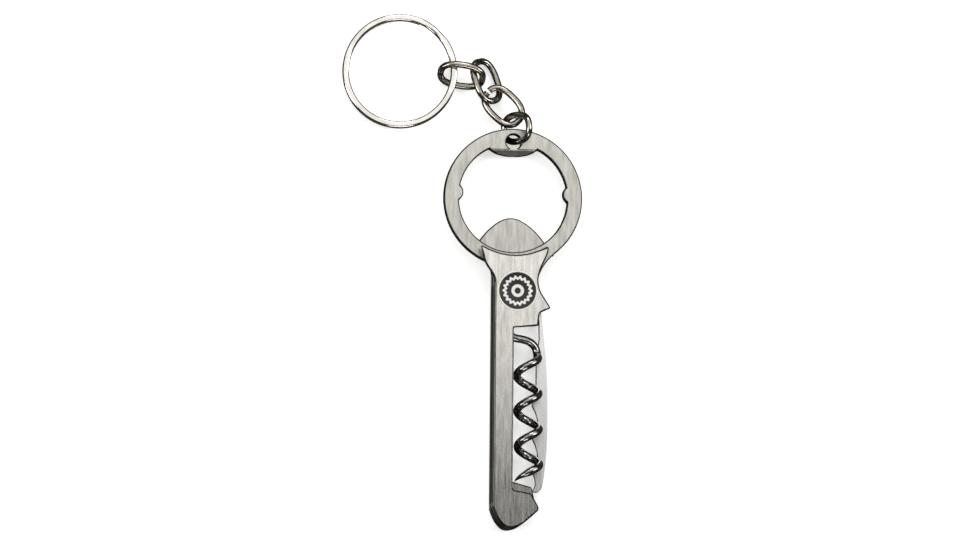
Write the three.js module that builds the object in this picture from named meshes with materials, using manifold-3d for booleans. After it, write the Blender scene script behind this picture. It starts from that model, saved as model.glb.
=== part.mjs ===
// Keychain bottle opener with a fold-out corkscrew and a fold-out foil blade.
// Millimetres, +Z up. The tool lies on its back plate: +Y runs to the bottle-opening ring, +X to the
// side where the tools swing out, and the origin is on the pivot axis at the rear face of the back plate.
import * as THREE from "three";
import { mergeVertices } from "three/addons/utils/BufferGeometryUtils.js";
import Module from "manifold-3d";

const wasm = await Module();
wasm.setup();

// ---- Driving dimensions ----

// Stack through the thickness, from the back plate to the front plate
const BACK_PLATE = 1.2;
const BLADE_LAYER = 1.5;
const HEAD_PLATE = 2.4;
const WORM_LAYER = 2.4;
const FRONT_PLATE = 1.3;
const BADGE = 0.15;

// Opening ring
const RING_X = -0.8;
const RING_Y = 23.17;
const RING_OUTER = 16.95;
const RING_INNER = 13.3;
const KEY_HOLE = 1.825;
const KEY_HOLE_EDGE = 3.22;
const TOOTH_HALF = 5.9;
const TOOTH_TIP_Y = 33.4;
const TOOTH_FACE_Y = 34.8;
const NUB_RADIUS = 2.2;
const NUB_OFFSET = 1.05;
const NUB_Y = 24.3;
const DOME_TOP_Y = 18.7;

// Handle
const SPINE_LEFT = -5.53;
const WINDOW_LEFT = -0.77;
const WINDOW_TOP = -8.9;
const WINDOW_BOTTOM = -48.4;
const TAIL_Y = -57.8;
const LINER_SET_BACK = 0.85;
const NECK_Y = 2;
const BLOCK_RIGHT = 5.2;
const BADGE_RADIUS = 4.95;

// Pins
const PIVOT_PIN = 1.25;
const RIVET = 0.8;
const RIVET_SKIN = 0.55;
const FIT = 0.03;
const RUN = 0.05;
const SLIDE = 0.1;

// Corkscrew
const WIRE = 0.975;
const WORM_X = 2.85;
const WORM_LEAN = 0.018;
const WORM_OUTER = 3.6;
const WORM_PITCH = 8.65;
const WORM_START_Y = -15.9;
const WORM_TURNS = 3.5;
const SHANK_END_Y = -8.6;
const LEAD_IN_Y = -11.5;
const LEAD_IN_DIP = 1.3;
const TIP_LENGTH = 4.5;
const WASHER = 0.15;

// Foil blade
const BLADE = 1.4;
const TANG = 4.1;
const BLADE_TIP_Y = -48.3;
const SERRATION_PITCH = 8.1;
const FIRST_POINT_Y = -27.2;

// Chain and split ring
const LINK_WIRE = 0.85;
const LINK_LENGTH = 12;
const LINK_WIDTH = 8.2;
const LINK_GAP = 0.3;
const LINK_FULLNESS = 0.8; // 1 makes a plain oval, less squares its ends
const SPLIT_RING_OUTER = 14;
const SPLIT_RING_WIDTH = 1.6;
const SPLIT_RING_TURN = 1.1;
const SPLIT_RING_GAP = 0.12;
const RING_FROM_HOLE = [-27.75, 17, 2.3];
const RING_LEAN = 4.5;
const RING_SPIN = 52;

// ---- Levels worked out from the stack ----

const Z_BLADE = BACK_PLATE;
const Z_HEAD = Z_BLADE + BLADE_LAYER;
const Z_WORM = Z_HEAD + HEAD_PLATE;
const Z_FRONT = Z_WORM + WORM_LAYER;
const Z_TOP = Z_FRONT + FRONT_PLATE;
const Z_WIRE = Z_WORM + WORM_LAYER / 2;
const LINER_LEFT = WINDOW_LEFT - LINER_SET_BACK;

// The key hole keeps its distance from the edge of the ring, and the chain hangs from it.
const KEY_HOLE_Y = RING_Y + RING_OUTER - KEY_HOLE_EDGE;
const fromHole = ([x, y, z]) => [RING_X + x, KEY_HOLE_Y + y, z];

// ---- Helpers ----

const FULL_TURN = 2 * Math.PI;
const degrees = (angle) => (angle * Math.PI) / 180;

// A closed geometry as a solid that can be joined and cut.
function solid(geometry) {
  const bare = geometry.index ? geometry.toNonIndexed() : geometry.clone();
  bare.deleteAttribute("normal");
  bare.deleteAttribute("uv");
  const merged = mergeVertices(bare, 1e-4);
  return new wasm.Manifold(
    new wasm.Mesh({
      numProp: 3,
      vertProperties: merged.attributes.position.array,
      triVerts: new Uint32Array(merged.index.array),
    }),
  );
}

function geometryOf(body) {
  const mesh = body.getMesh();
  const geometry = new THREE.BufferGeometry();
  geometry.setAttribute("position", new THREE.BufferAttribute(new Float32Array(mesh.vertProperties), 3));
  geometry.setIndex(new THREE.BufferAttribute(new Uint32Array(mesh.triVerts), 1));
  geometry.computeVertexNormals();
  return geometry;
}

// An outline in the XY plane, raised from one level to another.
function slab(shape, low, high, curveSegments = 10) {
  const geometry = new THREE.ExtrudeGeometry(shape, { depth: high - low, bevelEnabled: false, curveSegments });
  return solid(geometry.translate(0, 0, low));
}

function post(x, y, radius, low, high, sides = 32) {
  const geometry = new THREE.CylinderGeometry(radius, radius, high - low, sides);
  return solid(geometry.rotateX(Math.PI / 2).translate(x, y, (low + high) / 2));
}

// A straight-sided outline, with any corner given as [x, y, radius] rounded.
function outline(corners) {
  const shape = new THREE.Shape();
  corners.forEach((corner, i) => {
    const here = new THREE.Vector2(corner[0], corner[1]);
    const before = corners[(i + corners.length - 1) % corners.length];
    const after = corners[(i + 1) % corners.length];
    const radius = corner[2] ?? 0;
    const from = new THREE.Vector2(before[0], before[1]).sub(here).normalize();
    const to = new THREE.Vector2(after[0], after[1]).sub(here).normalize();
    const reach = radius / Math.tan(Math.acos(from.dot(to)) / 2);
    const start = here.clone().addScaledVector(from, reach);
    const end = here.clone().addScaledVector(to, reach);
    if (i === 0) shape.moveTo(start.x, start.y);
    else shape.lineTo(start.x, start.y);
    if (radius > 0) shape.quadraticCurveTo(here.x, here.y, end.x, end.y);
  });
  shape.closePath();
  return shape;
}

function disc(x, y, radius) {
  return new THREE.Shape().absarc(x, y, radius, 0, FULL_TURN);
}

// A wire of one section laid along a curve, with flat ends.
function sweep(section, path, steps, curveSegments = 4) {
  return new THREE.ExtrudeGeometry(section, { extrudePath: path, steps, curveSegments, bevelEnabled: false });
}

const group = new THREE.Group();

function add(name, body, look) {
  const geometry = body.isBufferGeometry ? body : geometryOf(body);
  const mesh = new THREE.Mesh(geometry, new THREE.MeshStandardMaterial(look));
  mesh.name = name;
  group.add(mesh);
  return mesh;
}

const BRUSHED = { color: 0xb9b6b1, roughness: 0.42, metalness: 1 };
const SPRING_STEEL = { color: 0x8f8d8a, roughness: 0.5, metalness: 1 };
const POLISHED = { color: 0xa6a4a2, roughness: 0.12, metalness: 1 };
const NICKEL = { color: 0xb4aea2, roughness: 0.18, metalness: 1 };
const GROUND = { color: 0xc9c8c4, roughness: 0.35, metalness: 1 };
const ENAMEL = { color: 0x2b2829, roughness: 0.35, metalness: 0 };

// ---- Handle outlines ----

// The tail: a straight ramp from the hook up to the rounded lower end of the spine.
const HOOK = [5.75, -52.85];
const HOOK_ROOT = [3.7, -49.2];

function tail(shape, rootX, rootY) {
  shape.lineTo(rootX, rootY);
  shape.lineTo(HOOK[0] - 0.35, HOOK[1] + 0.75);
  shape.quadraticCurveTo(HOOK[0] + 0.1, HOOK[1] - 0.1, HOOK[0] - 0.45, HOOK[1] - 0.75);
  shape.lineTo(2.1, -56.4);
  shape.bezierCurveTo(0.6, TAIL_Y + 0.25, -1.4, TAIL_Y - 0.25, -2.6, TAIL_Y + 0.45);
  shape.quadraticCurveTo(-4.4, -56.2, SPINE_LEFT, -52.6);
}

// The handle below its neck: block over the pivot, spine strip and tail round an open window.
function handle(windowLeft, windowTop, blockRight, rootLeftY, rootX, rootY) {
  const shape = new THREE.Shape();
  shape.moveTo(SPINE_LEFT, NECK_Y + 1);
  shape.lineTo(blockRight, NECK_Y + 1);
  shape.lineTo(blockRight, windowTop);
  shape.lineTo(windowLeft + 0.3, windowTop);
  shape.quadraticCurveTo(windowLeft, windowTop, windowLeft, windowTop - 0.3);
  shape.lineTo(windowLeft, rootLeftY + 0.5);
  shape.quadraticCurveTo(windowLeft, rootLeftY, windowLeft + 0.5, rootLeftY);
  tail(shape, rootX, rootY);
  shape.closePath();
  return shape;
}

// ---- Front plate ----

const HORN_LEFT = [-8.9, 11];
const HORN_RIGHT = [7.4, 11];
const HORN_DIP = 8.85;

// The neck flares out on the left: early on the front plate, later on the plates under it.
function frontFlare(shape) {
  shape.bezierCurveTo(SPINE_LEFT, 4.6, -8.1, 5.4, -8.45, 8.7);
}

function innerFlare(shape) {
  shape.lineTo(SPINE_LEFT, 4.6);
  shape.quadraticCurveTo(SPINE_LEFT - 0.4, 7.9, -9, 8.9);
}

function frontPlate() {
  const shape = new THREE.Shape();
  shape.moveTo(SPINE_LEFT, NECK_Y);
  frontFlare(shape);
  shape.lineTo(HORN_LEFT[0], HORN_LEFT[1] - 0.35);
  shape.quadraticCurveTo(HORN_LEFT[0] - 0.05, HORN_LEFT[1] + 0.05, HORN_LEFT[0] + 0.4, HORN_LEFT[1] - 0.1);
  const middle = (HORN_LEFT[0] + HORN_RIGHT[0]) / 2;
  shape.quadraticCurveTo(middle, 2 * HORN_DIP - HORN_LEFT[1], HORN_RIGHT[0] - 0.4, HORN_RIGHT[1] - 0.1);
  shape.quadraticCurveTo(HORN_RIGHT[0] + 0.15, HORN_RIGHT[1] + 0.1, HORN_RIGHT[0] + 0.2, HORN_RIGHT[1] - 0.6);
  shape.bezierCurveTo(HORN_RIGHT[0], 8, 5.5, 6.4, BLOCK_RIGHT - 0.07, 3);
  shape.quadraticCurveTo(BLOCK_RIGHT - 0.1, 1.1, 5.9, -0.4);
  // Beak beside the pivot, where a thumb stops
  shape.lineTo(7.95, -3.6);
  shape.quadraticCurveTo(8.25, -4, 7.85, -4.2);
  shape.lineTo(6.1, -5);
  shape.quadraticCurveTo(5.4, -5.3, 5.35, -6);
  shape.lineTo(BLOCK_RIGHT, WINDOW_TOP + 0.65);
  shape.lineTo(BLOCK_RIGHT - 0.2, WINDOW_TOP + 0.45);
  shape.lineTo(WINDOW_LEFT + 0.3, WINDOW_TOP);
  shape.quadraticCurveTo(WINDOW_LEFT, WINDOW_TOP, WINDOW_LEFT, WINDOW_TOP - 0.3);
  shape.lineTo(WINDOW_LEFT, WINDOW_BOTTOM + 0.5);
  shape.quadraticCurveTo(WINDOW_LEFT, WINDOW_BOTTOM, WINDOW_LEFT + 0.5, WINDOW_BOTTOM - 0.1);
  tail(shape, HOOK_ROOT[0], HOOK_ROOT[1]);
  shape.closePath();
  return slab(shape, Z_FRONT, Z_TOP);
}

// ---- Head plate: the opening ring and the liner between the two tool layers ----

function ringFillets() {
  const shape = new THREE.Shape();
  shape.moveTo(SPINE_LEFT, NECK_Y);
  innerFlare(shape);
  shape.lineTo(-9.2, 12);
  shape.lineTo(9.2, 12);
  shape.lineTo(9.2, 9.4);
  shape.quadraticCurveTo(6, 6.6, BLOCK_RIGHT - 0.1, NECK_Y);
  shape.closePath();
  return shape;
}

function toothOutline() {
  const left = RING_X - TOOTH_HALF;
  const right = RING_X + TOOTH_HALF;
  const base = RING_Y + Math.sqrt(RING_INNER ** 2 - TOOTH_HALF ** 2);
  const crown = RING_Y + RING_INNER + 1;
  const shape = new THREE.Shape();
  shape.moveTo(left, base);
  shape.bezierCurveTo(left + 1.3, TOOTH_TIP_Y + 0.5, left + 3.3, TOOTH_TIP_Y, RING_X, TOOTH_TIP_Y);
  shape.bezierCurveTo(right - 3.3, TOOTH_TIP_Y, right - 1.3, TOOTH_TIP_Y + 0.5, right, base);
  shape.lineTo(right, crown);
  shape.lineTo(left, crown);
  shape.closePath();
  return shape;
}

function headPlate() {
  const low = Z_HEAD - 1;
  const high = Z_WORM + 1;
  let opening = slab(disc(RING_X, RING_Y, RING_INNER), low, high, 48);
  opening = opening.subtract(slab(toothOutline(), low, high, 14));
  for (const side of [-1, 1]) {
    const x = RING_X + side * (RING_INNER + NUB_OFFSET);
    opening = opening.subtract(slab(disc(x, NUB_Y, NUB_RADIUS), low - 1, high + 1, 12));
  }
  // The tooth's ground lip slopes from the front face to an edge at the back.
  const lipRun = TOOTH_FACE_Y - TOOTH_TIP_Y;
  const lip = new THREE.BoxGeometry(2 * TOOTH_HALF + 0.2, 4, 6).translate(0, -2, 0);
  lip.rotateX(-Math.atan2(lipRun, HEAD_PLATE));
  lip.translate(RING_X, TOOTH_FACE_Y, Z_WORM);
  return slab(disc(RING_X, RING_Y, RING_OUTER), Z_HEAD, Z_WORM, 56)
    .add(slab(ringFillets(), Z_HEAD, Z_WORM))
    .add(slab(handle(LINER_LEFT, WINDOW_TOP + 2, BLOCK_RIGHT - 0.3, -45.9, 4.3, -47.4), Z_HEAD, Z_WORM))
    .subtract(opening)
    .subtract(slab(disc(RING_X, KEY_HOLE_Y, KEY_HOLE), low, high, 16))
    .subtract(solid(lip));
}

// ---- Back plate, with the dome that rests on the cap ----

function backPlate() {
  const dome = new THREE.Shape();
  dome.moveTo(SPINE_LEFT, NECK_Y);
  innerFlare(dome);
  dome.quadraticCurveTo(-9.3, 11.4, -8.5, 13.1);
  dome.quadraticCurveTo(-6.1, 16.6, -3.2, 18.1);
  dome.quadraticCurveTo(RING_X, DOME_TOP_Y + 0.6, 1.6, 18.1);
  dome.quadraticCurveTo(4.7, 16.6, 7.2, 13.1);
  dome.quadraticCurveTo(8.2, 11.4, 7.9, 9.2);
  dome.quadraticCurveTo(5.9, 6.4, BLOCK_RIGHT - 0.1, NECK_Y);
  dome.closePath();
  const low = handle(LINER_LEFT, WINDOW_TOP + 2, BLOCK_RIGHT - 0.3, -49.5, 4, -49.9);
  return slab(dome, 0, Z_BLADE).add(slab(low, 0, Z_BLADE));
}

// ---- Springs and spacers between the plates ----

// A spring with a wide foot on its two rivets and a finger that bears on the tool's root.
function spring(fingerRight, footRight, low, high) {
  const corners = [
    [SPINE_LEFT, 1.6, 0.4],
    [SPINE_LEFT, -51.4, 0.5],
    [footRight, -51.4, 0.5],
    [footRight, -15.5, 0.8],
    [fingerRight, -13.5, 0.8],
    [fingerRight, 1.6, 0.4],
  ];
  return slab(outline(corners), low, high, 4);
}

// The spacer that fills the tail behind the hook.
function tailSpacer(topY, low, high) {
  const corners = [
    [-1.1, topY, 0.3],
    [3.3, topY - 0.5, 0.3],
    [4.9, -52.7, 0.3],
    [1.6, -55.7, 0.5],
    [-1.1, -56.6, 0.5],
  ];
  return slab(outline(corners), low, high, 4);
}

// The spacer beside the pivot, on the left of the neck.
function neckSpacer(low, high) {
  const corners = [
    [-5.4, 4.6, 0.3],
    [-2.6, 4.6, 0.3],
    [-2.6, 8.2, 0.3],
    [-6.5, 8.2, 0.3],
  ];
  return slab(outline(corners), low, high, 4);
}

// ---- Corkscrew: one wire with an eye on the pivot, a shank behind the spine and the worm ----

// The worm leans a little away from the spine towards its tip.
const wormAxis = (y) => WORM_X + WORM_LEAN * (WORM_START_Y - y);

function corkscrewPath() {
  const points = [];
  const eye = PIVOT_PIN + RUN + WIRE;
  for (let angle = -92; angle <= 180; angle += 17) {
    points.push([eye * Math.cos(degrees(angle)), eye * Math.sin(degrees(angle)), Z_WIRE]);
  }
  points.push([-eye, -3, Z_WIRE], [-eye, -6, Z_WIRE], [-eye, SHANK_END_Y, Z_WIRE]);
  // Out of the handle, across the top of the window and round into the first turn
  const coil = WORM_OUTER - WIRE;
  const right = WORM_X + coil;
  points.push([-1.75, LEAD_IN_Y + 1.2, Z_WIRE], [-0.4, LEAD_IN_Y + 0.3, Z_WIRE - 0.1 * LEAD_IN_DIP]);
  points.push([1.4, LEAD_IN_Y, Z_WIRE - 0.35 * LEAD_IN_DIP]);
  points.push([right - 2.05, LEAD_IN_Y - 0.55, Z_WIRE - 0.7 * LEAD_IN_DIP]);
  points.push([right - 0.65, LEAD_IN_Y - 1.75, Z_WIRE - LEAD_IN_DIP]);
  points.push([right - 0.15, WORM_START_Y + 1.15, Z_WIRE - LEAD_IN_DIP]);
  const spaces = Math.round(WORM_TURNS * 20);
  for (let i = -1; i <= spaces; i++) {
    const turn = (FULL_TURN * WORM_TURNS * i) / spaces;
    const y = WORM_START_Y - (WORM_PITCH * turn) / FULL_TURN;
    points.push([wormAxis(y) + coil * Math.cos(turn), y, Z_WIRE + coil * Math.sin(turn)]);
  }
  return new THREE.CatmullRomCurve3(points.map((p) => new THREE.Vector3(...p)));
}

// The last stretch of the wire is drawn down to a point on the outer side of the worm.
function sharpen(geometry, path, steps) {
  const centres = path.getSpacedPoints(steps);
  const tipSteps = Math.round((steps * TIP_LENGTH) / path.getLength());
  const place = geometry.attributes.position;
  const vertex = new THREE.Vector3();
  const axis = new THREE.Vector3();
  for (let i = 0; i < place.count; i++) {
    vertex.fromBufferAttribute(place, i);
    let nearest = 0;
    centres.forEach((centre, k) => {
      if (centre.distanceToSquared(vertex) < centres[nearest].distanceToSquared(vertex)) nearest = k;
    });
    const left = (steps - nearest) / tipSteps;
    if (left >= 1) continue;
    const size = 0.12 + 0.88 * left;
    const centre = centres[nearest];
    axis.set(wormAxis(centre.y), centre.y, Z_WIRE);
    const outward = centre.clone().sub(axis).normalize();
    vertex.sub(centre).multiplyScalar(size).add(centre);
    vertex.addScaledVector(outward, (1 - size) * WIRE * 0.9);
    place.setXYZ(i, vertex.x, vertex.y, vertex.z);
  }
  return geometry;
}

function corkscrew() {
  const path = corkscrewPath();
  path.arcLengthDivisions = 1200;
  const steps = Math.round(path.getLength() / 0.75);
  return solid(sharpen(sweep(disc(0, 0, WIRE), path, steps, 5), path, steps));
}

// ---- Foil blade ----

function foilBlade() {
  const low = Z_BLADE + (BLADE_LAYER - BLADE) / 2;
  const spine = [
    [5.9, BLADE_TIP_Y - 0.15],
    [7.0, -47.3],
    [7.75, -43],
    [8.25, -37],
    [8.35, -29.5],
    [8.2, -22],
    [7.85, -16.2],
    [7.3, -11.2],
    [6.9, -7.5],
    [6.6, -4.2],
  ];
  const shape = new THREE.Shape();
  shape.moveTo(0, TANG);
  shape.absarc(0, 0, TANG, Math.PI / 2, 1.5 * Math.PI);
  shape.lineTo(4.4, -4.9);
  shape.quadraticCurveTo(5.9, -5.2, 6.05, -7);
  shape.lineTo(6.15, -10.8);
  shape.quadraticCurveTo(6.1, -12.6, 5.48, -13.6);
  shape.lineTo(5.48, -23.2);
  shape.lineTo(4.5, FIRST_POINT_Y);
  for (let i = 0; i < 2; i++) {
    const y = FIRST_POINT_Y - i * SERRATION_PITCH;
    shape.bezierCurveTo(6.1, y - 2.6, 6.9, y - 5.6, 4.6, y - SERRATION_PITCH);
  }
  shape.quadraticCurveTo(5.9, -45.6, 5.3, -47.2);
  shape.lineTo(4.65, BLADE_TIP_Y + 0.1);
  shape.lineTo(4.8, BLADE_TIP_Y);
  shape.lineTo(spine[0][0], spine[0][1]);
  shape.splineThru(spine.slice(1).map((p) => new THREE.Vector2(...p)));
  shape.quadraticCurveTo(6.3, -1.8, TANG, 0);
  shape.absarc(0, 0, TANG, 0, Math.PI / 2);
  shape.closePath();
  return slab(shape, low, low + BLADE, 5).subtract(post(0, 0, PIVOT_PIN + RUN, 0, Z_HEAD));
}

// ---- Chain link and split ring ----

// The centre line of a link: an oval, open at the middle of one end.
class LinkCurve extends THREE.Curve {
  getPoint(t, target = new THREE.Vector3()) {
    const long = LINK_LENGTH / 2 - LINK_WIRE;
    const wide = LINK_WIDTH / 2 - LINK_WIRE;
    const opening = LINK_GAP / wide;
    const angle = Math.PI + opening / 2 + t * (FULL_TURN - opening);
    const across = Math.sin(angle);
    const along = Math.cos(angle);
    const x = long * Math.sign(along) * Math.abs(along) ** LINK_FULLNESS;
    const y = wide * Math.sign(across) * Math.abs(across) ** LINK_FULLNESS;
    return target.set(x, y, 0);
  }
}

// Two flat turns, one on the other, with a ramp between them where both free ends stop.
class SplitRingCurve extends THREE.Curve {
  getPoint(t, target = new THREE.Vector3()) {
    const ramp = degrees(26);
    const start = ramp / 2 + degrees(3);
    const angle = start + t * (2 * FULL_TURN - 2 * start);
    const rise = THREE.MathUtils.smoothstep(angle, FULL_TURN - ramp / 2, FULL_TURN + ramp / 2);
    const radius = SPLIT_RING_OUTER - SPLIT_RING_WIDTH / 2;
    const step = SPLIT_RING_TURN + SPLIT_RING_GAP;
    return target.set(radius * Math.cos(angle), radius * Math.sin(angle), (rise - 0.5) * step);
  }
}

function splitRingSection() {
  const half = SPLIT_RING_TURN / 2;
  const wide = SPLIT_RING_WIDTH / 2;
  return outline([
    [-half, -wide, 0.35],
    [half, -wide, 0.35],
    [half, wide, 0.35],
    [-half, wide, 0.35],
  ]);
}

// ---- Assembly ----

const RIVETS = {
  neck_rivet: [-4.3, 6.4],
  spring_rivet: [-3.6, -22],
  tail_rivet: [-3.6, -48.5],
  hook_rivet: [1.4, -53],
};

// Bores every layer for the pins that pass through it.
function bored(body, low, high, names) {
  let made = body.subtract(post(0, 0, PIVOT_PIN + FIT, low, high));
  for (const name of names) {
    const [x, y] = RIVETS[name];
    made = made.subtract(post(x, y, RIVET + FIT, low, Math.min(high, Z_TOP - RIVET_SKIN + FIT), 24));
  }
  return made;
}

function riveted(body, low, high, names) {
  let made = body;
  for (const name of names) {
    const [x, y] = RIVETS[name];
    made = made.subtract(post(x, y, RIVET + FIT, low, high, 24));
  }
  return made;
}

const everyRivet = Object.keys(RIVETS);
const springRivets = ["spring_rivet", "tail_rivet"];
const worm = [Z_WORM, Z_FRONT];
const blade = [Z_BLADE, Z_HEAD];

add("back_plate", bored(backPlate(), -1, Z_BLADE + 1, everyRivet), BRUSHED);
add("head_plate", bored(headPlate(), Z_HEAD - 1, Z_WORM + 1, everyRivet), BRUSHED);
add("front_plate", bored(frontPlate(), Z_FRONT - 1, Z_TOP + 1, everyRivet), BRUSHED);

const wormFinger = -(PIVOT_PIN + RUN + 2 * WIRE + SLIDE);
add("corkscrew_spring", riveted(spring(wormFinger, LINER_LEFT, ...worm), 0, Z_TOP, springRivets), SPRING_STEEL);
add("blade_spring", riveted(spring(-TANG - SLIDE, LINER_LEFT, ...blade), 0, Z_TOP, springRivets), SPRING_STEEL);
add("tail_spacer_front", riveted(tailSpacer(-49.2, ...worm), 0, Z_TOP, ["hook_rivet"]), SPRING_STEEL);
add("tail_spacer_back", riveted(tailSpacer(-49.9, ...blade), 0, Z_TOP, ["hook_rivet"]), SPRING_STEEL);
add("neck_spacer_front", riveted(neckSpacer(...worm), 0, Z_TOP, ["neck_rivet"]), SPRING_STEEL);
add("neck_spacer_back", riveted(neckSpacer(...blade), 0, Z_TOP, ["neck_rivet"]), SPRING_STEEL);

add("pivot_pin", post(0, 0, PIVOT_PIN, 0, Z_TOP), SPRING_STEEL);
for (const name of everyRivet) {
  const [x, y] = RIVETS[name];
  add(name, post(x, y, RIVET, 0, Z_TOP - RIVET_SKIN, 24), SPRING_STEEL);
}
const washerHole = post(0, 0, PIVOT_PIN + FIT, 0, Z_TOP);
const washerOuter = PIVOT_PIN + RUN + 2 * WIRE - 0.3;
const washers = { eye_washer_back: Z_WORM, eye_washer_front: Z_FRONT - WASHER };
for (const [name, level] of Object.entries(washers)) {
  add(name, post(0, 0, washerOuter, level, level + WASHER).subtract(washerHole), NICKEL);
}

add("badge_disc", post(0, 0, BADGE_RADIUS, Z_TOP, Z_TOP + BADGE, 64), ENAMEL);
add("corkscrew", corkscrew(), POLISHED);
add("foil_blade", foilBlade(), GROUND);

// Where each link lies: its centre, across and along from the key hole and up from the table, the heading of
// its long axis, its climb and its roll about that axis.
const LINKS = {
  chain_link_4: { at: [0.65, 3.3, 5.4], heading: -2, climb: 61, roll: 6 },
  chain_link_3: { at: [-2.4, 8.9, 3.25], heading: -45, climb: 8, roll: 11 },
  chain_link_2: { at: [-6.55, 15.05, 2.75], heading: -71, climb: 5, roll: -31 },
  chain_link_1: { at: [-12.75, 16.2, 3.55], heading: -8, climb: 5, roll: 47 },
};
const linkShape = sweep(disc(0, 0, LINK_WIRE), new LinkCurve(), 44);
for (const [name, { at, heading, climb, roll }] of Object.entries(LINKS)) {
  const mesh = add(name, linkShape.clone(), NICKEL);
  mesh.rotation.set(degrees(roll), degrees(-climb), degrees(heading), "ZYX");
  mesh.position.set(...fromHole(at));
}

const splitRing = add("split_ring", sweep(splitRingSection(), new SplitRingCurve(), 112, 1), NICKEL);
splitRing.rotation.set(0, degrees(-RING_LEAN), degrees(RING_SPIN), "YZX");
splitRing.position.set(...fromHole(RING_FROM_HOLE));

export default group;
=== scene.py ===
# %% [markdown]
# # A keychain bottle opener, finished in Blender
#
# The tool is a stack of stamped steel plates with a corkscrew and a foil blade folded between them, and
# it hangs on a short chain and a split ring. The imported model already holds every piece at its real
# size and in its real place, so this lesson only adds what such a model leaves out: rolled rims, smooth
# wire, a printed badge and the finishes of the metals. Everything is in metres, +Z is up off the table,
# and +Y runs from the tail of the handle to the opening ring.

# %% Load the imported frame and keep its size
import math

import bmesh
import bpy
from mathutils import Matrix, Vector


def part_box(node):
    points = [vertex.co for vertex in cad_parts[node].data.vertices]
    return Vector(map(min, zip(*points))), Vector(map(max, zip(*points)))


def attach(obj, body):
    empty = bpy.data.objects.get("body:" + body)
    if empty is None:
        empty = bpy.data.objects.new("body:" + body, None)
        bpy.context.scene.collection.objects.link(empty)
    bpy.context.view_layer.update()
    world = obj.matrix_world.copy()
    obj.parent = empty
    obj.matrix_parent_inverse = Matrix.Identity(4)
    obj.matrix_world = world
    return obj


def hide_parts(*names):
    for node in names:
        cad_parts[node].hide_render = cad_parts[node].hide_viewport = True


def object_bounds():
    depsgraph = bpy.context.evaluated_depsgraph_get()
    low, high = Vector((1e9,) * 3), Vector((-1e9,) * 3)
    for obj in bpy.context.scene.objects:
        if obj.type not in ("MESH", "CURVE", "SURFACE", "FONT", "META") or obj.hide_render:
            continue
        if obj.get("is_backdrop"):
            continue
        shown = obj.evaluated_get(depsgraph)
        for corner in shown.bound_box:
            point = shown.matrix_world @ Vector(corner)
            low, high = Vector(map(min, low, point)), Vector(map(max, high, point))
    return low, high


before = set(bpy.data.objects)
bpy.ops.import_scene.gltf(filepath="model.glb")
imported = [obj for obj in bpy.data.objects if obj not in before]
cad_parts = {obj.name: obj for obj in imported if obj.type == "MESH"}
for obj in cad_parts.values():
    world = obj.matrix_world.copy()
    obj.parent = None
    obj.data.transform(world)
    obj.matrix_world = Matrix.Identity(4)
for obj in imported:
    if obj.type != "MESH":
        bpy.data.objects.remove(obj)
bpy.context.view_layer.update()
MM = 0.001

# %% [markdown]
# ## Colours
#
# Colours are easiest to choose as the hex values of a paint chart, but shaders work in linear light. A
# single function does the conversion, so that no material has to think about it.

# %% From a chart's hex colour to linear light


def chart(code):
    """A hex sRGB colour as linear RGBA."""
    channels = [int(code[i : i + 2], 16) / 255 for i in (1, 3, 5)]
    linear = [c / 12.92 if c <= 0.04045 else ((c + 0.055) / 1.055) ** 2.4 for c in channels]
    return (*linear, 1.0)


print("mid grey in linear light:", round(chart("#808080")[0], 3))

# %% [markdown]
# ## Building node trees
#
# Node trees are long to write by hand. The helper below adds a node, sets its properties, and fills its
# inputs: a value that is another node's output becomes a link, and anything else is set on the socket.

# %% One helper that adds a node with its settings and links


def add_node(tree, kind, inputs=None, **settings):
    node = tree.nodes.new(kind)
    for name, value in settings.items():
        setattr(node, name, value)
    for socket, value in (inputs or {}).items():
        if isinstance(value, bpy.types.NodeSocket):
            tree.links.new(value, node.inputs[socket])
        else:
            node.inputs[socket].default_value = value
    return node


def new_material(name):
    """An empty material tree with its shader, its output and the object's own coordinates."""
    material = bpy.data.materials.new(name)
    material.use_nodes = True
    tree = material.node_tree
    tree.nodes.clear()
    shader = add_node(tree, "ShaderNodeBsdfPrincipled")
    add_node(tree, "ShaderNodeOutputMaterial", {"Surface": shader.outputs[0]})
    place = add_node(tree, "ShaderNodeTexCoord").outputs["Object"]
    return material, tree, shader, place


print("helpers ready")

# %% [markdown]
# ## Brushed stainless sheet
#
# The three plates are austenitic stainless sheet, drawn under a belt along the handle. A belt leaves broken
# parallel scratches, a few tenths of a millimetre apart and several millimetres long, with cloudy patches
# where it pressed harder. Two noises stretched along Y give both. The scratches drive the bump and the
# roughness, and the clouds only the colour, because that is how the eye tells them apart. The real
# scratches are some 0.05 mm apart: they are drawn at 0.3 mm, the finest that still shows. The two deeper
# plates are a little rougher than the front one and painted darker, as painted shade for their place under
# it in the stack, and the ring's lip is ground, which leaves it rougher.

# %% Scratches and clouds of a belt-brushed face

SCRATCH_PITCH = 0.3 * MM
SCRATCH_LENGTH = 7 * MM
SCRATCH_DEPTH = 0.02 * MM
CLOUD_PITCH = 0.9 * MM
CLOUD_LENGTH = 5 * MM


def stretched_noise(tree, place, pitch, length, detail):
    """Noise whose grains are one pitch wide and one length long, running along Y."""
    grain = add_node(
        tree,
        "ShaderNodeMapping",
        {"Vector": place, "Scale": (1 / pitch, 1 / length, 1 / pitch)},
    )
    noise = add_node(
        tree,
        "ShaderNodeTexNoise",
        {"Vector": grain.outputs[0], "Scale": 1.0, "Detail": detail, "Roughness": 0.55},
    )
    return noise.outputs["Fac"]


def spread(tree, value, low, high):
    """A noise's usual 0.3 to 0.7 spread over another range."""
    return add_node(
        tree,
        "ShaderNodeMapRange",
        {"Value": value, "From Min": 0.3, "From Max": 0.7, "To Min": low, "To Max": high},
    ).outputs["Result"]


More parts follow.
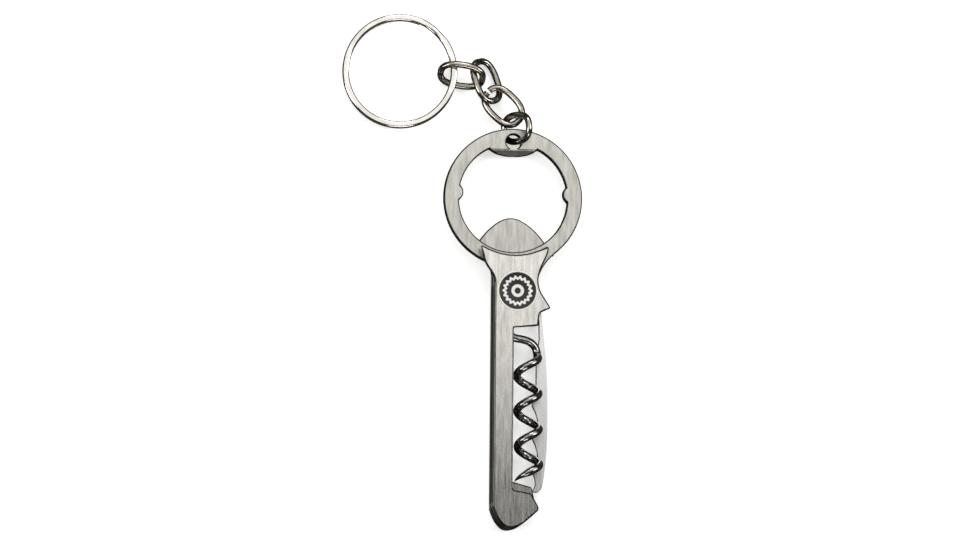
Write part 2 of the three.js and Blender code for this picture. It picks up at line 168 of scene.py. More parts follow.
def two_tones(tree, shader, share, dark, pale):
    """Blends the base colour between two of the chart's colours."""
    colour = add_node(tree, "ShaderNodeMix", data_type="RGBA")
    tree.links.new(share, colour.inputs[0])
    colour.inputs[6].default_value = chart(dark)
    colour.inputs[7].default_value = chart(pale)
    tree.links.new(colour.outputs[2], shader.inputs["Base Color"])


def dented(tree, shader, height, strength, depth):
    bump = add_node(tree, "ShaderNodeBump", {"Height": height, "Strength": strength, "Distance": depth})
    tree.links.new(bump.outputs[0], shader.inputs["Normal"])


def brushed(name, dark, pale, roughness, strength):
    material, tree, shader, place = new_material(name)
    scratches = stretched_noise(tree, place, SCRATCH_PITCH, SCRATCH_LENGTH, 2)
    clouds = stretched_noise(tree, place, CLOUD_PITCH, CLOUD_LENGTH, 4)
    two_tones(tree, shader, spread(tree, clouds, 0, 1), dark, pale)
    rough = spread(tree, scratches, roughness - 0.06, roughness + 0.08)
    tree.links.new(rough, shader.inputs["Roughness"])
    dented(tree, shader, scratches, strength, SCRATCH_DEPTH)
    shader.inputs["Metallic"].default_value = 1.0
    return material


brushed_stainless = brushed("brushed_stainless_sheet", "#CBC8C1", "#EFECE5", 0.25, 0.35)
# A darker copy of the same sheet: painted shade for the deeper plates.
shade_painted_stainless = brushed("shade_painted_brushed_stainless", "#AFACA6", "#D2CFC8", 0.27, 0.35)
ground_lip = brushed("ground_lip_steel", "#B8B5AF", "#E0DDD7", 0.5, 0.5)
print("made", brushed_stainless.name, shade_painted_stainless.name, ground_lip.name)

# %% [markdown]
# ## Sheared edges, painted dark as shade
#
# Where the press cut the sheet, the wall is part sheared, part torn, and nobody brushes it afterwards. It
# is coarser than the face and a little darker. Here it is painted near black, as painted shade and dark
# reflection on the walls and rims, which gives each plate a thin drawn outline.

# %% The torn wall of a stamped plate, painted dark as shade

TEAR_SIZE = 0.5 * MM
TEAR_DEPTH = 0.03 * MM


# Coarse, noisy metal. For the plate and blade walls its dark colours are painted shade; for the springs
# they are the steel's own tone.
def sheared(name, dark, pale, roughness):
    material, tree, shader, place = new_material(name)
    tear = add_node(
        tree,
        "ShaderNodeTexNoise",
        {"Vector": place, "Scale": 1 / TEAR_SIZE, "Detail": 5.0, "Roughness": 0.6},
    ).outputs["Fac"]
    two_tones(tree, shader, spread(tree, tear, 0, 1), dark, pale)
    tree.links.new(spread(tree, tear, roughness - 0.08, roughness + 0.1), shader.inputs["Roughness"])
    dented(tree, shader, tear, 0.25, TEAR_DEPTH)
    shader.inputs["Metallic"].default_value = 1.0
    return material


# The plate walls' near black is painted shade and dark reflection, not the steel's own tone.
shade_painted_edge = sheared("shade_painted_plate_edge", "#2A2725", "#4C4946", 0.38)
spring_steel = sheared("tumbled_spring_steel", "#96938E", "#BCB9B3", 0.5)
print("made", shade_painted_edge.name, "and", spring_steel.name)

# %% [markdown]
# ## Plates
#
# A CAD plate has knife-sharp rims, and nothing catches light worse. Each plate is copied, its doubled
# points are merged, its flat faces are joined again, and every rim is rounded by a third of a
# millimetre, as tumbling does. The bevel stays inside the sheet, so the plate keeps its real size. Flat
# faces are shaded flat and rims smooth, because one soft normal across a broad face would look dented.
# At a sharp horn the rounded rim folds over itself, so the points of a flat face that lie closer than 1.3
# rims are merged, and the face is filled again with its holes. The front plate's rim is a quarter wider, so
# that its dark outline, painted shade on the rim, shows. The big sloped faces are the ground lip of the
# ring.

# %% Copy a plate and roll its rims

RIM_ANGLE = math.radians(33)
NEARLY_FLAT = math.radians(0.8)
PLATE_RIM = 0.32 * MM
FRONT_RIM = 1.25 * PLATE_RIM
CROWDED = 1.3
LEVEL = 0.999
SLOPED = (0.3, 0.9)
SMALL_FACE = 1.5 * MM * MM


def refill(shape, level, up, crowd):
    """Fills the flat face at one level again, holes and all, after merging the points that crowd."""

    def flat(part):
        return all(abs(v.co.z - level) < 1e-6 for v in part.verts)

    inset = [v for v in shape.verts if abs(v.co.z - level) < 1e-6]
    bmesh.ops.remove_doubles(shape, verts=inset, dist=crowd)
    old = [f for f in shape.faces if flat(f)]
    bmesh.ops.delete(shape, geom=old, context="FACES_KEEP_BOUNDARY")
    border = [e for e in shape.edges if e.is_boundary and flat(e)]
    bmesh.ops.triangle_fill(shape, edges=border, use_beauty=True, normal=(0, 0, up))


def rolled_plate(name, node, face_look, edge_look, rim=PLATE_RIM, segments=3):
    shape = bmesh.new()
    shape.from_mesh(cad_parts[node].data)
    bmesh.ops.remove_doubles(shape, verts=shape.verts, dist=1e-6)
    bmesh.ops.dissolve_limit(
        shape,
        angle_limit=NEARLY_FLAT,
        verts=shape.verts,
        edges=shape.edges,
    )
    rims = [e for e in shape.edges if len(e.link_faces) == 2 and e.calc_face_angle(0) > RIM_ANGLE]
    bmesh.ops.bevel(
        shape,
        geom=rims,
        offset=rim,
        offset_type="OFFSET",
        segments=segments,
        profile=0.5,
        affect="EDGES",
        clamp_overlap=False,
    )
    heights = [v.co.z for v in shape.verts]
    for level, up in ((min(heights), -1), (max(heights), 1)):
        refill(shape, level, up, CROWDED * rim)
    bmesh.ops.triangulate(shape, faces=[f for f in shape.faces if len(f.verts) > 4])
    shape.normal_update()
    for face in shape.faces:
        face.smooth = True
        slope = abs(face.normal.z)
        lip = SLOPED[0] < slope < SLOPED[1] and face.calc_area() > SMALL_FACE
        # Walls and rims take the second material, painted dark as shade; the sloped lip takes the third.
        face.material_index = 0 if slope > LEVEL else 2 if lip else 1
    for edge in shape.edges:
        level = [abs(f.normal.z) > LEVEL for f in edge.link_faces]
        edge.smooth = len(set(level)) < 2 and edge.calc_face_angle(0) < RIM_ANGLE
    mesh = bpy.data.meshes.new(name)
    shape.to_mesh(mesh)
    shape.free()
    mesh.materials.append(face_look)
    mesh.materials.append(edge_look)
    mesh.materials.append(ground_lip)
    return show(name, mesh)


def show(name, mesh):
    piece = bpy.data.objects.new(name, mesh)
    bpy.context.scene.collection.objects.link(piece)
    return piece


def settle(piece, body, slot, *nodes):
    """Rides a finished piece on its body in place of the CAD nodes that it stands for."""
    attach(piece, body)
    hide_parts(*nodes)
    print(piece.name, "rides on", body, "with", len(piece.data.polygons), "faces")


# The deeper head and back plates take the darker copy, painted shade for their place in the stack.
FACES = {
    "back_plate": (shade_painted_stainless, PLATE_RIM),
    "head_plate": (shade_painted_stainless, PLATE_RIM),
    "front_plate": (brushed_stainless, FRONT_RIM),
}
for node, (face_look, rim) in FACES.items():
    plate = rolled_plate(node + "_finished", node, face_look, shade_painted_edge, rim)
    settle(plate, "handle", "brushed_plate", node)

# %% [markdown]
# ## The foil blade
#
# The blade is thin martensitic stainless, ground on a fine wheel and left paler than the handle. Its rims
# are only broken, by a tenth of a millimetre, so that the serrations stay crisp. Its walls are painted a
# darker grey, as painted shade on the edge.

# %% Grind the foil blade

ground_steel = brushed("fine_ground_blade_steel", "#F4F3F0", "#FFFEFC", 0.31, 0.25)
# Darker walls of the blade: painted shade on the edge, not the steel's own tone.
shade_painted_blade_edge = sheared("shade_painted_blade_wall", "#77756F", "#A5A39E", 0.3)
foil_blade = rolled_plate("foil_blade_finished", "foil_blade", ground_steel, shade_painted_blade_edge, 0.14 * MM, 2)
settle(foil_blade, "blade_arm", "ground_blade", "foil_blade")

# %% [markdown]
# ## Wire, from a path
#
# The corkscrew and the links are round wire bent on formers, so each is fully described by the line that
# its centre follows and by its thickness. That is work for Geometry Nodes: the line goes in as a chain of
# edges that carries a thickness, becomes a curve, and a circle is swept along it. The same tree makes
# every wire of the tool, and only its inputs differ.

# %% A Geometry Nodes tree that sweeps round wire along a line


def wire_tree():
    tree = bpy.data.node_groups.new("Round wire along a line", "GeometryNodeTree")
    face = tree.interface
    face.new_socket("Line", in_out="INPUT", socket_type="NodeSocketGeometry")
    face.new_socket("Wire radius", in_out="INPUT", socket_type="NodeSocketFloat")
    face.new_socket("Sides", in_out="INPUT", socket_type="NodeSocketInt")
    face.new_socket("Finish", in_out="INPUT", socket_type="NodeSocketMaterial")
    face.new_socket("Wire", in_out="OUTPUT", socket_type="NodeSocketGeometry")
    given = add_node(tree, "NodeGroupInput").outputs
    line = add_node(tree, "GeometryNodeMeshToCurve", {"Mesh": given["Line"]})
    section = add_node(
        tree,
        "GeometryNodeCurvePrimitiveCircle",
        {"Resolution": given["Sides"], "Radius": given["Wire radius"]},
    )
    thickness = add_node(tree, "GeometryNodeInputNamedAttribute", {"Name": "thickness"}, data_type="FLOAT")
    swept = add_node(
        tree,
        "GeometryNodeCurveToMesh",
        {
            "Curve": line.outputs[0],
            "Profile Curve": section.outputs[0],
            "Scale": thickness.outputs[0],
            "Fill Caps": True,
        },
    )
    whole = add_node(tree, "GeometryNodeRealizeInstances", {"Geometry": swept.outputs[0]})
    looks = add_node(
        tree,
        "GeometryNodeSetMaterial",
        {"Geometry": whole.outputs[0], "Material": given["Finish"]},
    )
    add_node(tree, "NodeGroupOutput", {"Wire": looks.outputs[0]})
    return tree


ROUND_WIRE = wire_tree()


def grown(name, line, tree, values):
    """Runs a tree on a line of points and keeps the plain mesh that comes out."""
    points, thickness = line
    mesh = bpy.data.meshes.new(name + "_line")
    mesh.from_pydata(points, [(i, i + 1) for i in range(len(points) - 1)], [])
    mesh.attributes.new("thickness", "FLOAT", "POINT").data.foreach_set("value", thickness)
    host = show(name, mesh)
    modifier = host.modifiers.new("grow", "NODES")
    modifier.node_group = tree
    sockets = {s.name: s.identifier for s in tree.interface.items_tree if s.in_out == "INPUT"}
    for socket, value in values.items():
        modifier[sockets[socket]] = value
    host.update_tag()
    result = bpy.data.meshes.new_from_object(host.evaluated_get(bpy.context.evaluated_depsgraph_get()))
    host.modifiers.clear()
    host.data = result
    shape = bmesh.new()
    shape.from_mesh(result)
    bmesh.ops.recalc_face_normals(shape, faces=shape.faces)
    for face in shape.faces:
        face.smooth = True
    for edge in shape.edges:
        edge.smooth = edge.calc_face_angle(0) < math.radians(50)
    shape.to_mesh(result)
    shape.free()
    result.name = name
    return host


print("the wire tree has", len(ROUND_WIRE.nodes), "nodes")

# %% [markdown]
# ## Bright wire
#
# The corkscrew is drawn spring wire, polished after bending. The links and the split ring are steel under
# a few microns of nickel, which is warmer. Both are near mirrors, so almost all that they show is
# the room, and only faint draw lines and a little tarnish in the roughness tell them from chrome. The
# split ring is rolled strip with a brighter plating than the links.

# %% Polished steel and nickel

DRAW_DEPTH = 0.02 * MM


def bright(name, dark, pale, roughness, grain, dents=0.08):
    material, tree, shader, place = new_material(name)
    tarnish = add_node(
        tree,
        "ShaderNodeTexNoise",
        {"Vector": place, "Scale": 1 / grain, "Detail": 3.0},
    ).outputs["Fac"]
    two_tones(tree, shader, spread(tree, tarnish, 0, 1), dark, pale)
    tree.links.new(spread(tree, tarnish, roughness, roughness + 0.08), shader.inputs["Roughness"])
    dented(tree, shader, tarnish, dents, DRAW_DEPTH)
    shader.inputs["Metallic"].default_value = 1.0
    return material


polished_steel = bright("polished_spring_wire", "#7E7C7A", "#AFADAA", 0.12, 1.2 * MM)
nickel = bright("nickel_plated_steel", "#8D877D", "#BDB7AC", 0.14, 1.5 * MM)
bright_strip = bright("bright_nickel_strip", "#DAD6CE", "#F4F1EA", 0.09, 4 * MM, 0.02)
print("made", polished_steel.name, nickel.name, bright_strip.name)

# %% [markdown]
# ## The corkscrew
#
# One wire does everything: an eye round the pivot pin, a straight shank hidden behind the spine, a bend
# across the top of the window, and three and a half turns of worm drawn down to an off-centre point. The
# line is given by a few dozen guide points, rounded by a centripetal Catmull-Rom curve, which never
# overshoots where long and short stretches meet.

# %% The line of the corkscrew's wire

WIRE = 0.975
PIN = 1.25
WORM_X, WORM_LEAN, WORM_OUTER = 2.85, 0.018, 3.6
WORM_START, WORM_PITCH, WORM_TURNS = -15.9, 8.65, 3.5
SHANK_END, LEAD_IN, LEAD_IN_DIP = -8.6, -11.5, 1.3
WIRE_LEVEL = 6.3
TIP_LENGTH = 4.5


def worm_axis(y):
    return WORM_X + WORM_LEAN * (WORM_START - y)


def corkscrew_guides():
    eye = PIN + 0.05 + WIRE
    coil = WORM_OUTER - WIRE
    right = WORM_X + coil
    turns = [math.radians(a) for a in range(-92, 181, 17)]
    guides = [(eye * math.cos(a), eye * math.sin(a), WIRE_LEVEL) for a in turns]
    guides += [(-eye, y, WIRE_LEVEL) for y in (-3, -6, SHANK_END)]
    guides += [
        (-1.75, LEAD_IN + 1.2, WIRE_LEVEL),
        (-0.4, LEAD_IN + 0.3, WIRE_LEVEL - 0.1 * LEAD_IN_DIP),
        (1.4, LEAD_IN, WIRE_LEVEL - 0.35 * LEAD_IN_DIP),
        (right - 2.05, LEAD_IN - 0.55, WIRE_LEVEL - 0.7 * LEAD_IN_DIP),
        (right - 0.65, LEAD_IN - 1.75, WIRE_LEVEL - LEAD_IN_DIP),
        (right - 0.15, WORM_START + 1.15, WIRE_LEVEL - LEAD_IN_DIP),
    ]
    spaces = round(WORM_TURNS * 20)
    for i in range(-1, spaces + 1):
        turn = 2 * math.pi * WORM_TURNS * i / spaces
        y = WORM_START - WORM_PITCH * turn / (2 * math.pi)
        guides.append((worm_axis(y) + coil * math.cos(turn), y, WIRE_LEVEL + coil * math.sin(turn)))
    return [Vector(g) for g in guides]


def rounded_line(guides, steps):
    """A centripetal Catmull-Rom curve through the guides, with a number of steps for each gap."""
    ends = [2 * guides[0] - guides[1], *guides, 2 * guides[-1] - guides[-2]]
    line = []
    for a, b, c, d in zip(ends, ends[1:], ends[2:], ends[3:]):
        ta = 0.0
        tb = ta + (b - a).length ** 0.5
        tc = tb + (c - b).length ** 0.5
        td = tc + (d - c).length ** 0.5
        for k in range(steps):
            t = tb + (tc - tb) * k / steps
            ab = (a * (tb - t) + b * (t - ta)) / (tb - ta)
            bc = (b * (tc - t) + c * (t - tb)) / (tc - tb)
            cd = (c * (td - t) + d * (t - tc)) / (td - tc)
            abc = (ab * (tc - t) + bc * (t - ta)) / (tc - ta)
            bcd = (bc * (td - t) + cd * (t - tb)) / (td - tb)
            line.append((abc * (tc - t) + bcd * (t - tb)) / (tc - tb))
    return [*line, guides[-1].copy()]


def pointed(line):
    """Thins the last stretch of a line to a point that leans to the outside of the worm."""
    lengths = [0.0]
    for near, far in zip(line, line[1:]):
        lengths.append(lengths[-1] + (far - near).length)
    points, thickness = [], []
    for point, length in zip(line, lengths):
        left = min(1.0, (lengths[-1] - length) / TIP_LENGTH)
        size = 0.12 + 0.88 * left
        outward = point - Vector((worm_axis(point.y), point.y, WIRE_LEVEL))
        shift = outward.normalized() * (1 - size) * WIRE * 0.9
        points.append((point + shift) * MM)
        thickness.append(size)
    return points, thickness


corkscrew_line = pointed(rounded_line(corkscrew_guides(), 4))
print("the wire's line has", len(corkscrew_line[0]), "points")

# %% Sweep the corkscrew

SNUG = 0.998

corkscrew = grown(
    "corkscrew_finished",
    corkscrew_line,
    ROUND_WIRE,
    {"Wire radius": WIRE * MM * SNUG, "Sides": 28, "Finish": polished_steel},
)
settle(corkscrew, "corkscrew_arm", "polished_wire", "corkscrew")

# %% [markdown]
# ## Chain links
#
# A link is a full oval of wire, bent round and left butted at the middle of one end. All four come off the
# same former, so there is one line, laid four times with its own heading, climb and roll, in degrees. The
# packed links have flat sides inside a true circle, so a smooth wire of full size would stand above
# them. It is drawn 4.5% thinner, 0.81 mm in radius.

# %% Bend and lay the four links

LINK_WIRE, LINK_LENGTH, LINK_WIDTH, LINK_GAP = 0.85, 12.0, 8.2, 0.3
LINK_FULLNESS = 0.8
LINK_SNUG = 0.955


def link_line(steps=96):
    """The centre line of a link: a full oval, open at the middle of one end."""
    long, wide = LINK_LENGTH / 2 - LINK_WIRE, LINK_WIDTH / 2 - LINK_WIRE
    opening = LINK_GAP / wide
    line = []
    for i in range(steps + 1):
        angle = math.pi + opening / 2 + (2 * math.pi - opening) * i / steps
        along, across = math.cos(angle), math.sin(angle)
        x = long * math.copysign(abs(along) ** LINK_FULLNESS, along)
        y = wide * math.copysign(abs(across) ** LINK_FULLNESS, across)
        line.append(Vector((x, y, 0)))
    return line


def laid(line, at, heading=0.0, climb=0.0, roll=0.0):
    turn = Matrix.Rotation(math.radians(heading), 4, "Z")
    turn = turn @ Matrix.Rotation(math.radians(-climb), 4, "Y")
    turn = turn @ Matrix.Rotation(math.radians(roll), 4, "X")
    return [(turn @ p + Vector(at)) * MM for p in line]


LINKS = {
    4: ((-0.15, 40.2, 5.4), -2, 61, 6),
    3: ((-3.2, 45.8, 3.25), -45, 8, 11),
    2: ((-7.35, 51.95, 2.75), -71, 5, -31),
    1: ((-13.55, 53.1, 3.55), -8, 5, 47),
}
one_link = link_line()
for number, (at, heading, climb, roll) in LINKS.items():
    points = laid(one_link, at, heading, climb, roll)
    link = grown(
        f"chain_link_{number}_finished",
        (points, [1.0] * len(points)),
        ROUND_WIRE,
        {"Wire radius": LINK_WIRE * MM * LINK_SNUG, "Sides": 24, "Finish": nickel},
    )
    settle(link, f"link_{number}", "nickel_plate", f"chain_link_{number}")

# %% [markdown]
# ## The split ring
#
# The ring is flat-rolled wire wound twice, one turn on the other, with a short crossing where a key
# starts. Its section is a rounded strip, so its tree sweeps a filleted rectangle instead of a circle, and
# the curve's normal is held to the table so that the strip never twists.

# %% A tree for rolled strip, and the ring


def strip_tree():
    tree = bpy.data.node_groups.new("Rolled strip along a line", "GeometryNodeTree")
    face = tree.interface
    face.new_socket("Line", in_out="INPUT", socket_type="NodeSocketGeometry")
    for name in ("Strip width", "Strip height", "Rounding"):
        face.new_socket(name, in_out="INPUT", socket_type="NodeSocketFloat")
    face.new_socket("Finish", in_out="INPUT", socket_type="NodeSocketMaterial")
    face.new_socket("Strip", in_out="OUTPUT", socket_type="NodeSocketGeometry")
    given = add_node(tree, "NodeGroupInput").outputs
    line = add_node(tree, "GeometryNodeMeshToCurve", {"Mesh": given["Line"]})
    upright = add_node(tree, "GeometryNodeSetCurveNormal", {"Curve": line.outputs[0]}, mode="Z_UP")
    block = add_node(
        tree,
        "GeometryNodeCurvePrimitiveQuadrilateral",
        {"Width": given["Strip width"], "Height": given["Strip height"]},
    )
    section = add_node(
        tree,
        "GeometryNodeFilletCurve",
        {"Curve": block.outputs[0], "Count": 5, "Radius": given["Rounding"], "Limit Radius": True},
        mode="POLY",
    )
    swept = add_node(
        tree,
        "GeometryNodeCurveToMesh",
        {"Curve": upright.outputs[0], "Profile Curve": section.outputs[0], "Fill Caps": True},
    )
    whole = add_node(tree, "GeometryNodeRealizeInstances", {"Geometry": swept.outputs[0]})
    looks = add_node(
        tree,
        "GeometryNodeSetMaterial",
        {"Geometry": whole.outputs[0], "Material": given["Finish"]},
    )
    add_node(tree, "NodeGroupOutput", {"Strip": looks.outputs[0]})
    return tree


RING_OUTER, RING_WIDTH, RING_TURN, RING_GAP = 14.0, 1.6, 1.1, 0.12
RING_AT, RING_LEAN, RING_SPIN = (-28.55, 53.9, 2.3), 4.5, 52


def ring_line(steps=320):
    """Two flat turns with a smooth crossing halfway."""
    ramp = math.radians(26)
    start = ramp / 2 + math.radians(3)
    middle = RING_OUTER - RING_WIDTH / 2
    line = []
    for i in range(steps + 1):
        angle = start + (4 * math.pi - 2 * start) * i / steps
        share = min(1.0, max(0.0, (angle - 2 * math.pi + ramp / 2) / ramp))
        rise = share * share * (3 - 2 * share)
        level = (rise - 0.5) * (RING_TURN + RING_GAP)
        line.append(Vector((middle * math.cos(angle), middle * math.sin(angle), level)))
    lean = Matrix.Rotation(math.radians(-RING_LEAN), 4, "Y")
    spin = Matrix.Rotation(math.radians(RING_SPIN), 4, "Z")
    return [(lean @ spin @ p + Vector(RING_AT)) * MM for p in line]


ring_points = ring_line()
split_ring = grown(
    "split_ring_finished",
    (ring_points, [1.0] * len(ring_points)),
    strip_tree(),
    {
        "Strip width": RING_WIDTH * MM,
        "Strip height": RING_TURN * MM,
        "Rounding": 0.48 * MM,
        "Finish": bright_strip,
    },
)
settle(split_ring, "ring", "nickel_plate", "split_ring")
ring_box = [[round(c / MM, 2) for c in corner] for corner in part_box("split_ring")]
print("CAD ring box in mm:", ring_box)

# %% [markdown]
# ## The badge
#
# A printed disc covers the head of the pivot pin: dark enamel inside a pale rim. A maker would put a mark
# here. This one carries a plain crown-cap outline instead, a fluted ring round a smaller plain one,
# raised by the thickness of the ink.

# %% Turn the disc and print its pattern

badge_low, badge_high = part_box("badge_disc")
BADGE_RADIUS = (badge_high.x - badge_low.x) / 2
INK = 0.02 * MM
PEEL_DEPTH = 0.02 * MM
PALE_RIM = 0.42 * MM


def turned(profile, steps):
    """A lathe shape round Z: rings of points joined by quads, closed at both poles."""
    shape = bmesh.new()
    rings = []
    for radius, level in profile:
        if radius == 0:
            rings.append([shape.verts.new((0, 0, level))] * steps)
            continue
        angles = [2 * math.pi * k / steps for k in range(steps)]
        rings.append([shape.verts.new((radius * math.cos(a), radius * math.sin(a), level)) for a in angles])
    for upper, lower in zip(rings, rings[1:]):
        for k in range(steps):
            corners = [upper[k], lower[k], lower[(k + 1) % steps], upper[(k + 1) % steps]]
            shape.faces.new(list(dict.fromkeys(corners)))
    bmesh.ops.recalc_face_normals(shape, faces=shape.faces)
    return shape


def finished(name, shape, *looks):
    for face in shape.faces:
        face.smooth = True
    for edge in shape.edges:
        edge.smooth = edge.calc_face_angle(0) < math.radians(30)
    mesh = bpy.data.meshes.new(name)
    shape.to_mesh(mesh)
    shape.free()
    for look in looks:
        mesh.materials.append(look)
    return show(name, mesh)


def coated(name, dark, pale, roughness, grain):
    """Enamel or ink: a dielectric with a faint orange peel."""
    material, tree, shader, place = new_material(name)
    peel = add_node(tree, "ShaderNodeTexNoise", {"Vector": place, "Scale": 1 / grain, "Detail": 2.0})
    two_tones(tree, shader, spread(tree, peel.outputs["Fac"], 0, 1), dark, pale)
    dented(tree, shader, peel.outputs["Fac"], 0.1, PEEL_DEPTH)
    shader.inputs["Roughness"].default_value = roughness
    return material


dark_enamel = coated("dark_badge_enamel", "#1A1716", "#262221", 0.5, 0.8 * MM)
white_ink = coated("pale_badge_ink", "#E9E6E0", "#F7F5F0", 0.5, 0.6 * MM)

base, top = badge_low.z, badge_high.z
inner = BADGE_RADIUS - PALE_RIM
disc = turned(
    [
        (0, top - INK),
        (inner, top - INK),
        (inner + 0.04 * MM, top),
        (BADGE_RADIUS - 0.1 * MM, top),
        (BADGE_RADIUS, top - 0.08 * MM),
        (BADGE_RADIUS, base),
        (0, base),
    ],
    96,
)
for face in disc.faces:
    reach = max(math.hypot(v.co.x, v.co.y) for v in face.verts)
    on_rim = reach > inner + INK / 2 and face.calc_center_median().z > base + INK
    face.material_index = 1 if on_rim else 0
badge = finished("badge_face", disc, dark_enamel, white_ink)
settle(badge, "handle", "badge_enamel", "badge_disc")

# %% The crown-cap outline

FLUTES = 18


def printed_band(inside, outside, steps=288):
    """A closed band between two outlines, each a function of the angle, one ink film thick."""
    shape = bmesh.new()
    loops = []
    for outline, level in ((inside, 0), (inside, 1), (outside, 1), (outside, 0)):
        loop = []
        for k in range(steps):
            angle = 2 * math.pi * k / steps
            radius = outline(angle) * MM
            spot = (radius * math.cos(angle), radius * math.sin(angle), top - INK + level * INK)
            loop.append(shape.verts.new(spot))
        loops.append(loop)
    for near, far in zip(loops, [*loops[1:], loops[0]]):
        for k in range(steps):
            after = (k + 1) % steps
            shape.faces.new((near[k], far[k], far[after], near[after]))
    bmesh.ops.recalc_face_normals(shape, faces=shape.faces)
    return shape


def fluted(radius, swing):
    return lambda angle: radius + swing * math.cos(FLUTES * angle)


crown = finished("badge_crown_outline", printed_band(fluted(2.75, 0.18), fluted(3.5, 0.26)), white_ink)
centre = finished("badge_centre_ring", printed_band(lambda a: 0.75, lambda a: 1.55), white_ink)
for print_piece in (crown, centre):
    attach(print_piece, "handle")
print("the crown outline has", FLUTES, "flutes, as a small crown cap has")

# %% [markdown]
# ## Springs, spacers, pins and washers
#
# These stay as the CAD made them: they are plain stampings and turned pins, seen only edge-on through the
# gaps. The stampings get tumbled spring steel. The pins are turned, which leaves fine rings round their
# own axis, so their finish counts distance from each pin's middle.

# %% Finishes for the pieces that stay


def turned_face(name, middle):
    """Bright turned steel with facing rings round one pin."""
    material, tree, shader, place = new_material(name)
    centred = add_node(
        tree,
        "ShaderNodeMapping",
        {"Vector": place, "Location": (-middle.x, -middle.y, 0.0)},
    )
    rings = add_node(
        tree,
        "ShaderNodeTexWave",
        {"Vector": centred.outputs[0], "Scale": 1 / (2.4 * MM), "Distortion": 0.3},
        wave_type="RINGS",
        rings_direction="Z",
    )
    two_tones(tree, shader, rings.outputs["Fac"], "#8A8783", "#C2BFBA")
    shader.inputs["Roughness"].default_value = 0.3
    shader.inputs["Metallic"].default_value = 1.0
    return material


def repaint(node, look):
    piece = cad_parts[node]
    piece.data.materials.clear()
    piece.data.materials.append(look)


STAMPINGS = ["corkscrew_spring", "blade_spring"]
STAMPINGS += [f"{place}_spacer_{side}" for place in ("tail", "neck") for side in ("front", "back")]
PINS = ["pivot_pin", "neck_rivet", "spring_rivet", "tail_rivet", "hook_rivet"]
for node in STAMPINGS:
    repaint(node, spring_steel)
for node in PINS:
    low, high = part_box(node)
    repaint(node, turned_face("turned_" + node, (low + high) / 2))
for node in ("eye_washer_back", "eye_washer_front"):
    repaint(node, nickel)
print("repainted", len(STAMPINGS) + len(PINS) + 2, "pieces that stay")

# %% [markdown]
# ## The table and the light
#
# Metal shows its surroundings more than itself. The tool lies on a white table. One broad softbox hangs
# low over the ring and stops above the middle of the handle, so that the plates run from bright at the
# ring to dark at the tail. The room is dim overhead and dark round the walls, which draws the dark
# lines along every wire.

# %% A white table


def lit_table(name, code, glow, mirrored):
    """Matt white, lit a little from below, that metals mirror as if it were darker."""
    material, tree, shader, place = new_material(name)
    shader.inputs["Base Color"].default_value = chart(code)
    shader.inputs["Roughness"].default_value = 0.9
    shader.inputs["Specular IOR Level"].default_value = 0.1
    shader.inputs["Emission Color"].default_value = chart(code)
    shader.inputs["Emission Strength"].default_value = glow
    dull = add_node(tree, "ShaderNodeBsdfDiffuse", {"Color": chart(mirrored)})
    mirror = add_node(tree, "ShaderNodeLightPath").outputs["Is Glossy Ray"]
    either = add_node(tree, "ShaderNodeMixShader", {0: mirror, 1: shader.outputs[0], 2: dull.outputs[0]})
    output = next(n for n in tree.nodes if n.type == "OUTPUT_MATERIAL")
    tree.links.new(either.outputs[0], output.inputs["Surface"])
    return material


table_mesh = bpy.data.meshes.new("table")
REACH = 6.0
DROP = -0.02 * MM
table_corners = [(x * REACH, y * REACH, DROP) for x, y in ((-1, -1), (1, -1), (1, 1), (-1, 1))]
table_mesh.from_pydata(table_corners, [], [(0, 1, 2, 3)])
table_mesh.materials.append(lit_table("white_table", "#FBFBFA", 0.55, "#4A4A4A"))
table = show("table", table_mesh)
table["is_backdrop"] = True
print("table", 2 * REACH, "m wide")

# %% Softboxes


def softbox(name, at, size, power, target=(0.0, 0.0, 0.0)):
    lamp = bpy.data.lights.new(name, "AREA")
    lamp.shape = "RECTANGLE"
    lamp.size, lamp.size_y = size
    lamp.energy = power
    box = bpy.data.objects.new(name, lamp)
    box.location = at
    aim = Vector(target) - Vector(at)
    box.rotation_euler = aim.to_track_quat("-Z", "Y").to_euler()
    box.visible_camera = False
    bpy.context.scene.collection.objects.link(box)
    return box


softbox("low_softbox", (0.02, 0.2535, 0.3), (0.7, 0.5), 1.16, (0.02, 0.2535, 0.0))
softbox("left_fill", (-0.9, -0.2, 0.8), (0.3, 0.6), 3.5)
softbox("right_fill", (0.9, 0.1, 0.8), (0.3, 0.6), 3.5)
softbox("back_fill", (0.0, 1.1, 0.8), (0.6, 0.3), 3.0)
softbox("front_fill", (0.0, -1.1, 0.8), (0.6, 0.3), 3.0)
print("five softboxes")

# %% The room round the table

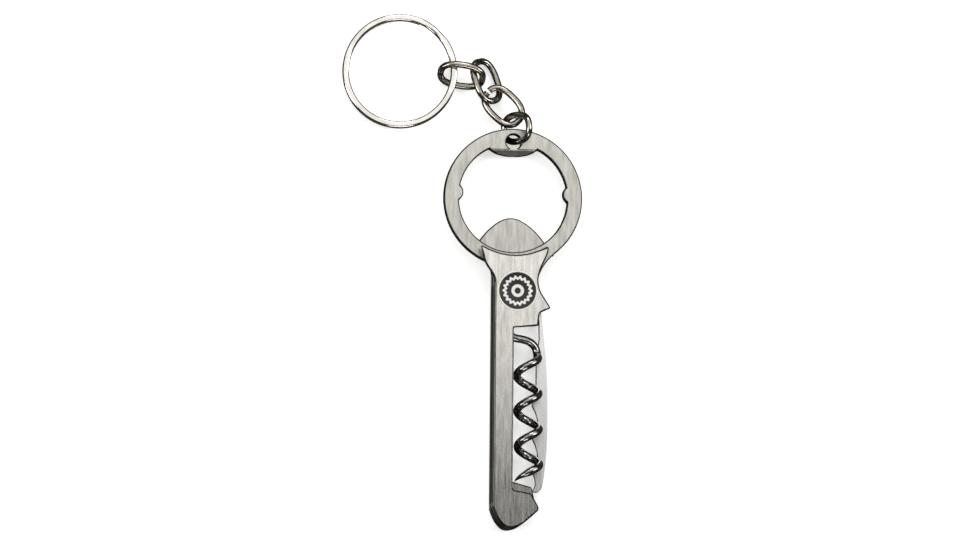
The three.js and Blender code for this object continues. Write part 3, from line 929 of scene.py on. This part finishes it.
room = bpy.data.worlds.new("room")
room.use_nodes = True
walls = room.node_tree
walls.nodes.clear()
direction = add_node(walls, "ShaderNodeTexCoord").outputs["Generated"]
height = add_node(walls, "ShaderNodeSeparateXYZ", {"Vector": direction}).outputs["Z"]
bands = add_node(walls, "ShaderNodeValToRGB", {"Fac": height})
stops = bands.color_ramp.elements
stops[0].position, stops[0].color = 0.0, chart("#4A4A4A")
stops[1].position, stops[1].color = 1.0, chart("#505050")
for position, code in ((0.25, "#2A2A2A"), (0.6, "#303030"), (0.85, "#484848")):
    stop = stops.new(position)
    stop.color = chart(code)
seen = add_node(walls, "ShaderNodeLightPath").outputs["Is Camera Ray"]
dim = add_node(walls, "ShaderNodeBackground", {"Color": bands.outputs[0], "Strength": 1.0})
plain = add_node(walls, "ShaderNodeBackground", {"Color": chart("#F4F4F2"), "Strength": 1.0})
either = add_node(walls, "ShaderNodeMixShader", {0: seen, 1: dim.outputs[0], 2: plain.outputs[0]})
add_node(walls, "ShaderNodeOutputWorld", {"Surface": either.outputs[0]})
bpy.context.scene.world = room
bpy.context.scene.view_settings.view_transform = "Standard"
print("room with", len(stops), "bands")

# %% [markdown]
# ## The camera
#
# A long lens from almost straight above, a little to the left of the tool and below it, so that the left
# and lower walls of the stack show as thin lines.

# %% Place the camera

LEAN = 0.1204
AIM = Vector((-7.02, 3.67, 8.8)) * MM
DISTANCE = 2.0
SPAN = 0.2370
ROLL = math.radians(0.5)

backward = Vector((-LEAN, -LEAN, 1)).normalized()
handle_way = Vector((0, 1, 0))
handle_way -= backward * handle_way.dot(backward)
upward = Matrix.Rotation(ROLL, 3, backward) @ handle_way.normalized()
sideways = upward.cross(backward)
lens = bpy.data.cameras.new("camera")
lens.sensor_width = 36
lens.lens = lens.sensor_width * DISTANCE / SPAN
lens.clip_start, lens.clip_end = 0.1, 20
camera = bpy.data.objects.new("camera", lens)
pose = Matrix((sideways, upward, backward)).transposed().to_4x4()
pose.translation = AIM + backward * DISTANCE
camera.matrix_world = pose
bpy.context.scene.collection.objects.link(camera)
bpy.context.scene.camera = camera
print("lens", round(lens.lens), "mm")

# %% [markdown]
# ## The size of the finished tool
#
# The finished tool must fit the box of the imported one, so its size is printed at the end.

# %% Print the finished size

low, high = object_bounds()
print("size in mm:", [round(side / MM, 2) for side in high - low])
